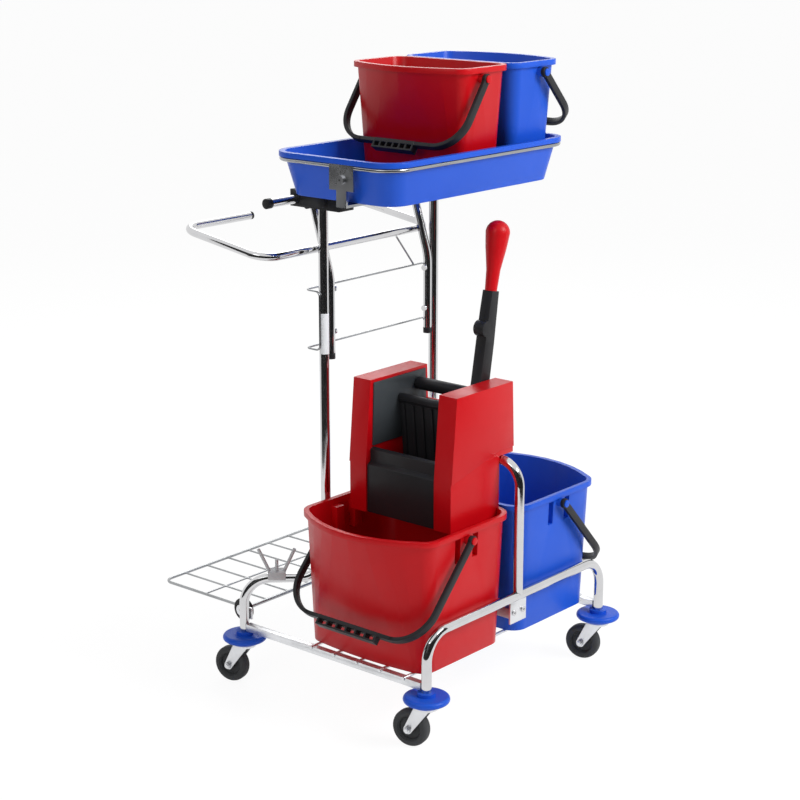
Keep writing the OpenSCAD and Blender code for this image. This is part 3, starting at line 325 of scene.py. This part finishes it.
def repeatPiece(name, piece, places, size, slotName, body):
    mesh = bpy.data.meshes.new(name + "Points")
    mesh.from_pydata([place for place, facing in places], [], [])
    facings = mesh.attributes.new("facing", "FLOAT_VECTOR", "POINT")
    for index, (place, facing) in enumerate(places):
        facings.data[index].vector = facing
    carrier = bpy.data.objects.new(name + "Points", mesh)
    scene.collection.objects.link(carrier)
    maker = carrier.modifiers.new("repeat", "NODES")
    maker.node_group = repeatOnPoints
    values = {"Piece": piece, "Size": size, "Finish": materials[slotName]}
    for item in repeatOnPoints.interface.items_tree:
        if item.in_out == "INPUT" and item.name in values:
            maker[item.identifier] = values[item.name]
    bpy.context.view_layer.update()
    finished = carrier.evaluated_get(bpy.context.evaluated_depsgraph_get())
    solid = bpy.data.meshes.new_from_object(finished)
    bpy.data.objects.remove(carrier)
    done = bpy.data.objects.new(name, solid)
    scene.collection.objects.link(done)
    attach(done, body)
    return done


def shapeObject(name, build):
    mesh = bpy.data.meshes.new(name)
    shape = bmesh.new()
    build(shape)
    shape.to_mesh(mesh)
    shape.free()
    made = bpy.data.objects.new(name, mesh)
    scene.collection.objects.link(made)
    return made


# a closed band of faces between two rings of the same count
def joinRings(shape, first, second):
    count = len(first)
    for k in range(count):
        after = (k + 1) % count
        shape.faces.new((first[k], first[after], second[after], second[k]))


# castor axle nuts: a hexagon with a round cap
nut = dict(flats=6, radius=0.0065, height=0.0032, capSides=20, capRadius=0.0042, capHeight=0.0022,
           edge=0.0006, edgeShrink=0.88, inset=0.0030, size=1.0)
castorCount = 4
castorTurn = math.radians(12)


def addPrism(shape, sides, radius, low, high):
    rings = []
    for reach, z in ((radius, low), (radius, high - nut["edge"]), (radius * nut["edgeShrink"], high)):
        angles = [math.tau * k / sides for k in range(sides)]
        rings.append([shape.verts.new((reach * math.cos(angle), reach * math.sin(angle), z)) for angle in angles])
    for below, above in zip(rings, rings[1:]):
        joinRings(shape, below, above)
    shape.faces.new(rings[-1])
    shape.faces.new(reversed(rings[0]))


def buildNut(shape):
    addPrism(shape, nut["flats"], nut["radius"], 0.0, nut["height"])
    addPrism(shape, nut["capSides"], nut["capRadius"], nut["height"], nut["height"] + nut["capHeight"])


nutShape = shapeObject("nutShape", buildNut)
along = Vector((math.cos(castorTurn), math.sin(castorTurn), 0))
for number in range(1, castorCount + 1):
    low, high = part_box("castor_axle_%d" % number)
    middle = (Vector(low) + Vector(high)) / 2
    reach = (high[0] - low[0]) / 2 / math.cos(castorTurn) - nut["inset"]
    places = [(middle + along * reach, along), (middle - along * reach, -along)]
    repeatPiece("axleNuts%d" % number, nutShape, places, nut["size"], "zinc", "castor_%d" % number)

# painted shade: a thin black cross on the outer end of each screw stands in for the shade inside its cross recess
cross = dict(arm=0.0021, half=0.00055, depth=0.00025, size=1.0)


def buildCross(shape):
    arm, half, depth = cross["arm"], cross["half"], cross["depth"]
    outline = [(half, half), (half, arm), (-half, arm), (-half, half), (-arm, half), (-arm, -half),
               (-half, -half), (-half, -arm), (half, -arm), (half, -half), (arm, -half), (arm, half)]
    low = [shape.verts.new((x, y, -depth)) for x, y in outline]
    high = [shape.verts.new((x, y, depth)) for x, y in outline]
    shape.faces.new(high)
    shape.faces.new(reversed(low))
    joinRings(shape, low, high)


crossShape = shapeObject("crossShape", buildCross)
crossPlaces = []
for node, axis in (("tie_screws", 1), ("tray_screws", 0)):
    for low, high in looseParts(nodes[node]):
        place = (low + high) / 2
        outward = -1 if place[axis] < 0 else 1
        place[axis] = low[axis] if outward < 0 else high[axis]
        facing = Vector((0, 0, 0))
        facing[axis] = outward
        crossPlaces.append((place, facing))
# the black crosses are painted shade in place of hollow recesses
repeatPiece("screwRecesses", crossShape, crossPlaces, cross["size"], "black", "frame")
for spare in (nutShape, crossShape):
    bpy.data.objects.remove(spare)
print("nuts and screw recesses placed")


# round black hubs over the platform's hinge bushes
hub = dict(inner=0.0151, outer=0.0240, near=0.2588, far=0.2700, chamfer=0.0015, y=0.14975, z=0.150, steps=40)


def buildHubs(shape):
    near, far, outer, chamfer = hub["near"], hub["far"], hub["outer"], hub["chamfer"]
    profile = [(near, hub["inner"]), (near, outer - chamfer), (near + chamfer, outer),
               (far - chamfer, outer), (far, outer - chamfer), (far, hub["inner"])]
    for side in (-1, 1):
        rings = []
        for step in range(hub["steps"]):
            angle = math.tau * step / hub["steps"]
            points = [(side * x, hub["y"] + reach * math.cos(angle), hub["z"] + reach * math.sin(angle))
                      for x, reach in profile]
            rings.append([shape.verts.new(point) for point in points])
        for step, ring in enumerate(rings):
            joinRings(shape, ring, rings[(step + 1) % hub["steps"]])
    bmesh.ops.recalc_face_normals(shape, faces=shape.faces)


hingeHubs = shapeObject("hingeHubs", buildHubs)
hingeHubs.data.materials.append(materials["black"])
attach(hingeHubs, "frame")
print("hinge hubs placed")


# bare sticker wrapped on the red side's upright, angles in degrees
sticker = dict(x=-0.170, y=0.00325, radius=0.0100, gap=0.00005, thick=0.00025, low=0.700, high=0.782,
               start=168, end=292, steps=28)


def buildSticker(shape):
    sweep = sticker["end"] - sticker["start"]
    rings = []
    for lift in (0.0, sticker["thick"]):
        reach = sticker["radius"] + sticker["gap"] + lift
        for z in (sticker["low"], sticker["high"]):
            ring = []
            for k in range(sticker["steps"] + 1):
                angle = math.radians(sticker["start"] + sweep * k / sticker["steps"])
                x = sticker["x"] + reach * math.cos(angle)
                y = sticker["y"] + reach * math.sin(angle)
                ring.append(shape.verts.new((x, y, z)))
            rings.append(ring)
    inLow, inHigh, outLow, outHigh = rings
    for k in range(sticker["steps"]):
        shape.faces.new((outLow[k], outLow[k + 1], outHigh[k + 1], outHigh[k]))
        shape.faces.new((inLow[k + 1], inLow[k], inHigh[k], inHigh[k + 1]))
        shape.faces.new((outHigh[k], outHigh[k + 1], inHigh[k + 1], inHigh[k]))
        shape.faces.new((inLow[k], inLow[k + 1], outLow[k + 1], outLow[k]))
    shape.faces.new((inLow[0], outLow[0], outHigh[0], inHigh[0]))
    shape.faces.new((outLow[-1], inLow[-1], inHigh[-1], outHigh[-1]))


label = shapeObject("uprightSticker", buildSticker)
label.data.materials.append(materials["paper"])
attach(label, "frame")
print("sticker placed")


# one for the named kinds of ray, nought for the others
def seenBy(tree, *kinds):
    path = tree.nodes.new("ShaderNodeLightPath").outputs
    seen = path[kinds[0]]
    for kind in kinds[1:]:
        seen = mathNode(tree, "MAXIMUM", seen, path[kind])
    return seen


def mixShaders(tree, share, first, second):
    mix = tree.nodes.new("ShaderNodeMixShader")
    feed(tree, share, mix.inputs["Fac"])
    feed(tree, first, mix.inputs[1])
    feed(tree, second, mix.inputs[2])
    return mix.outputs[0]


# white studio: the backdrop shows brighter than the light it gives
studio = dict(worldLight=0.42, floorSize=60.0, floorColor=0.92, floorRough=0.8, glow=1.07, glowShare=0.86)


def makeWorld():
    world = bpy.data.worlds.new("studioWorld")
    scene.world = world
    world.use_nodes = True
    tree = world.node_tree
    tree.nodes.clear()
    seen = seenBy(tree, "Is Camera Ray", "Is Glossy Ray", "Is Transmission Ray")
    light = tree.nodes.new("ShaderNodeBackground")
    light.inputs["Strength"].default_value = studio["worldLight"]
    white = tree.nodes.new("ShaderNodeBackground")
    white.inputs["Color"].default_value = (1, 1, 1, 1)
    out = tree.nodes.new("ShaderNodeOutputWorld")
    feed(tree, mixShaders(tree, seen, light.outputs[0], white.outputs[0]), out.inputs["Surface"])


def makeFloor():
    mesh = bpy.data.meshes.new("studioFloor")
    half = studio["floorSize"] / 2
    mesh.from_pydata([(-half, -half, 0), (half, -half, 0), (half, half, 0), (-half, half, 0)], [], [(0, 1, 2, 3)])
    floor = bpy.data.objects.new("studioFloor", mesh)
    scene.collection.objects.link(floor)
    paint = bpy.data.materials.new("floorPaint")
    paint.use_nodes = True
    tree = paint.node_tree
    shader = tree.nodes["Principled BSDF"]
    shade = studio["floorColor"]
    shader.inputs["Base Color"].default_value = (shade, shade, shade, 1)
    shader.inputs["Roughness"].default_value = studio["floorRough"]
    glow = tree.nodes.new("ShaderNodeEmission")
    glow.inputs["Strength"].default_value = studio["glow"]
    seen = seenBy(tree, "Is Camera Ray", "Is Glossy Ray")
    share = mathNode(tree, "MULTIPLY", seen, studio["glowShare"])
    mixed = mixShaders(tree, share, shader.outputs[0], glow.outputs[0])
    feed(tree, mixed, tree.nodes["Material Output"].inputs["Surface"])
    mesh.materials.append(paint)
    floor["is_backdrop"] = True


# dark room behind the camera, which draws the dark lines in the bright tubes
room = dict(far=1.75, low=0.01, high=1.7, middle=220.0, spread=160.0, steps=16, color=0.02, rough=1.0)


def makeRoom():
    paint = bpy.data.materials.new("roomCloth")
    paint.use_nodes = True
    shader = paint.node_tree.nodes["Principled BSDF"]
    shader.inputs["Base Color"].default_value = (room["color"], room["color"], room["color"], 1)
    shader.inputs["Roughness"].default_value = room["rough"]
    points, faces = [], []
    for step in range(room["steps"] + 1):
        angle = math.radians(room["middle"] + room["spread"] * (step / room["steps"] - 0.5))
        for height in (room["low"], room["high"]):
            points.append((room["far"] * math.cos(angle), room["far"] * math.sin(angle), height))
        if step:
            faces.append((2 * step - 2, 2 * step, 2 * step + 1, 2 * step - 1))
    mesh = bpy.data.meshes.new("darkRoom")
    mesh.from_pydata(points, [], faces)
    mesh.materials.append(paint)
    cloth = bpy.data.objects.new("darkRoom", mesh)
    cloth.visible_camera = False
    cloth.visible_diffuse = False
    cloth.visible_shadow = False
    scene.collection.objects.link(cloth)
    cloth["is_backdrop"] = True


lamps = {
    "keyLamp": dict(place=(0.9, -3.2, 2.7), target=(0, 0, 0.6), size=(1.8, 1.8), power=120),
    "fillLamp": dict(place=(-3.3, -0.5, 2.3), target=(0, 0, 0.6), size=(1.6, 2.2), power=22),
    "rimLamp": dict(place=(2.4, 2.2, 2.8), target=(0, 0, 0.7), size=(1.6, 1.6), power=30),
}


def makeLamp(name, place, target, size, power):
    data = bpy.data.lights.new(name, "AREA")
    data.shape = "RECTANGLE"
    data.size, data.size_y = size
    data.energy = power
    lamp = bpy.data.objects.new(name, data)
    lamp.location = place
    lamp.rotation_euler = (Vector(target) - Vector(place)).to_track_quat("-Z", "Y").to_euler()
    scene.collection.objects.link(lamp)


# the photo's camera, angles in degrees
view = dict(place=(-2.8993, -2.51135, 1.6039), yaw=40.34, pitch=-15.09, lens=86.59, sensor=36.0)


def makeCamera():
    data = bpy.data.cameras.new("photoCamera")
    data.lens = view["lens"]
    data.sensor_width = view["sensor"]
    camera = bpy.data.objects.new("photoCamera", data)
    camera.location = view["place"]
    yaw, pitch = math.radians(view["yaw"]), math.radians(view["pitch"])
    look = Vector((math.cos(yaw) * math.cos(pitch), math.sin(yaw) * math.cos(pitch), math.sin(pitch)))
    camera.rotation_euler = look.to_track_quat("-Z", "Y").to_euler()
    scene.collection.objects.link(camera)
    scene.camera = camera


makeWorld()
makeFloor()
makeRoom()
for name, lamp in lamps.items():
    makeLamp(name, **lamp)
makeCamera()
scene.view_settings.view_transform = "Standard"
print("studio ready")

low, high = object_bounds()
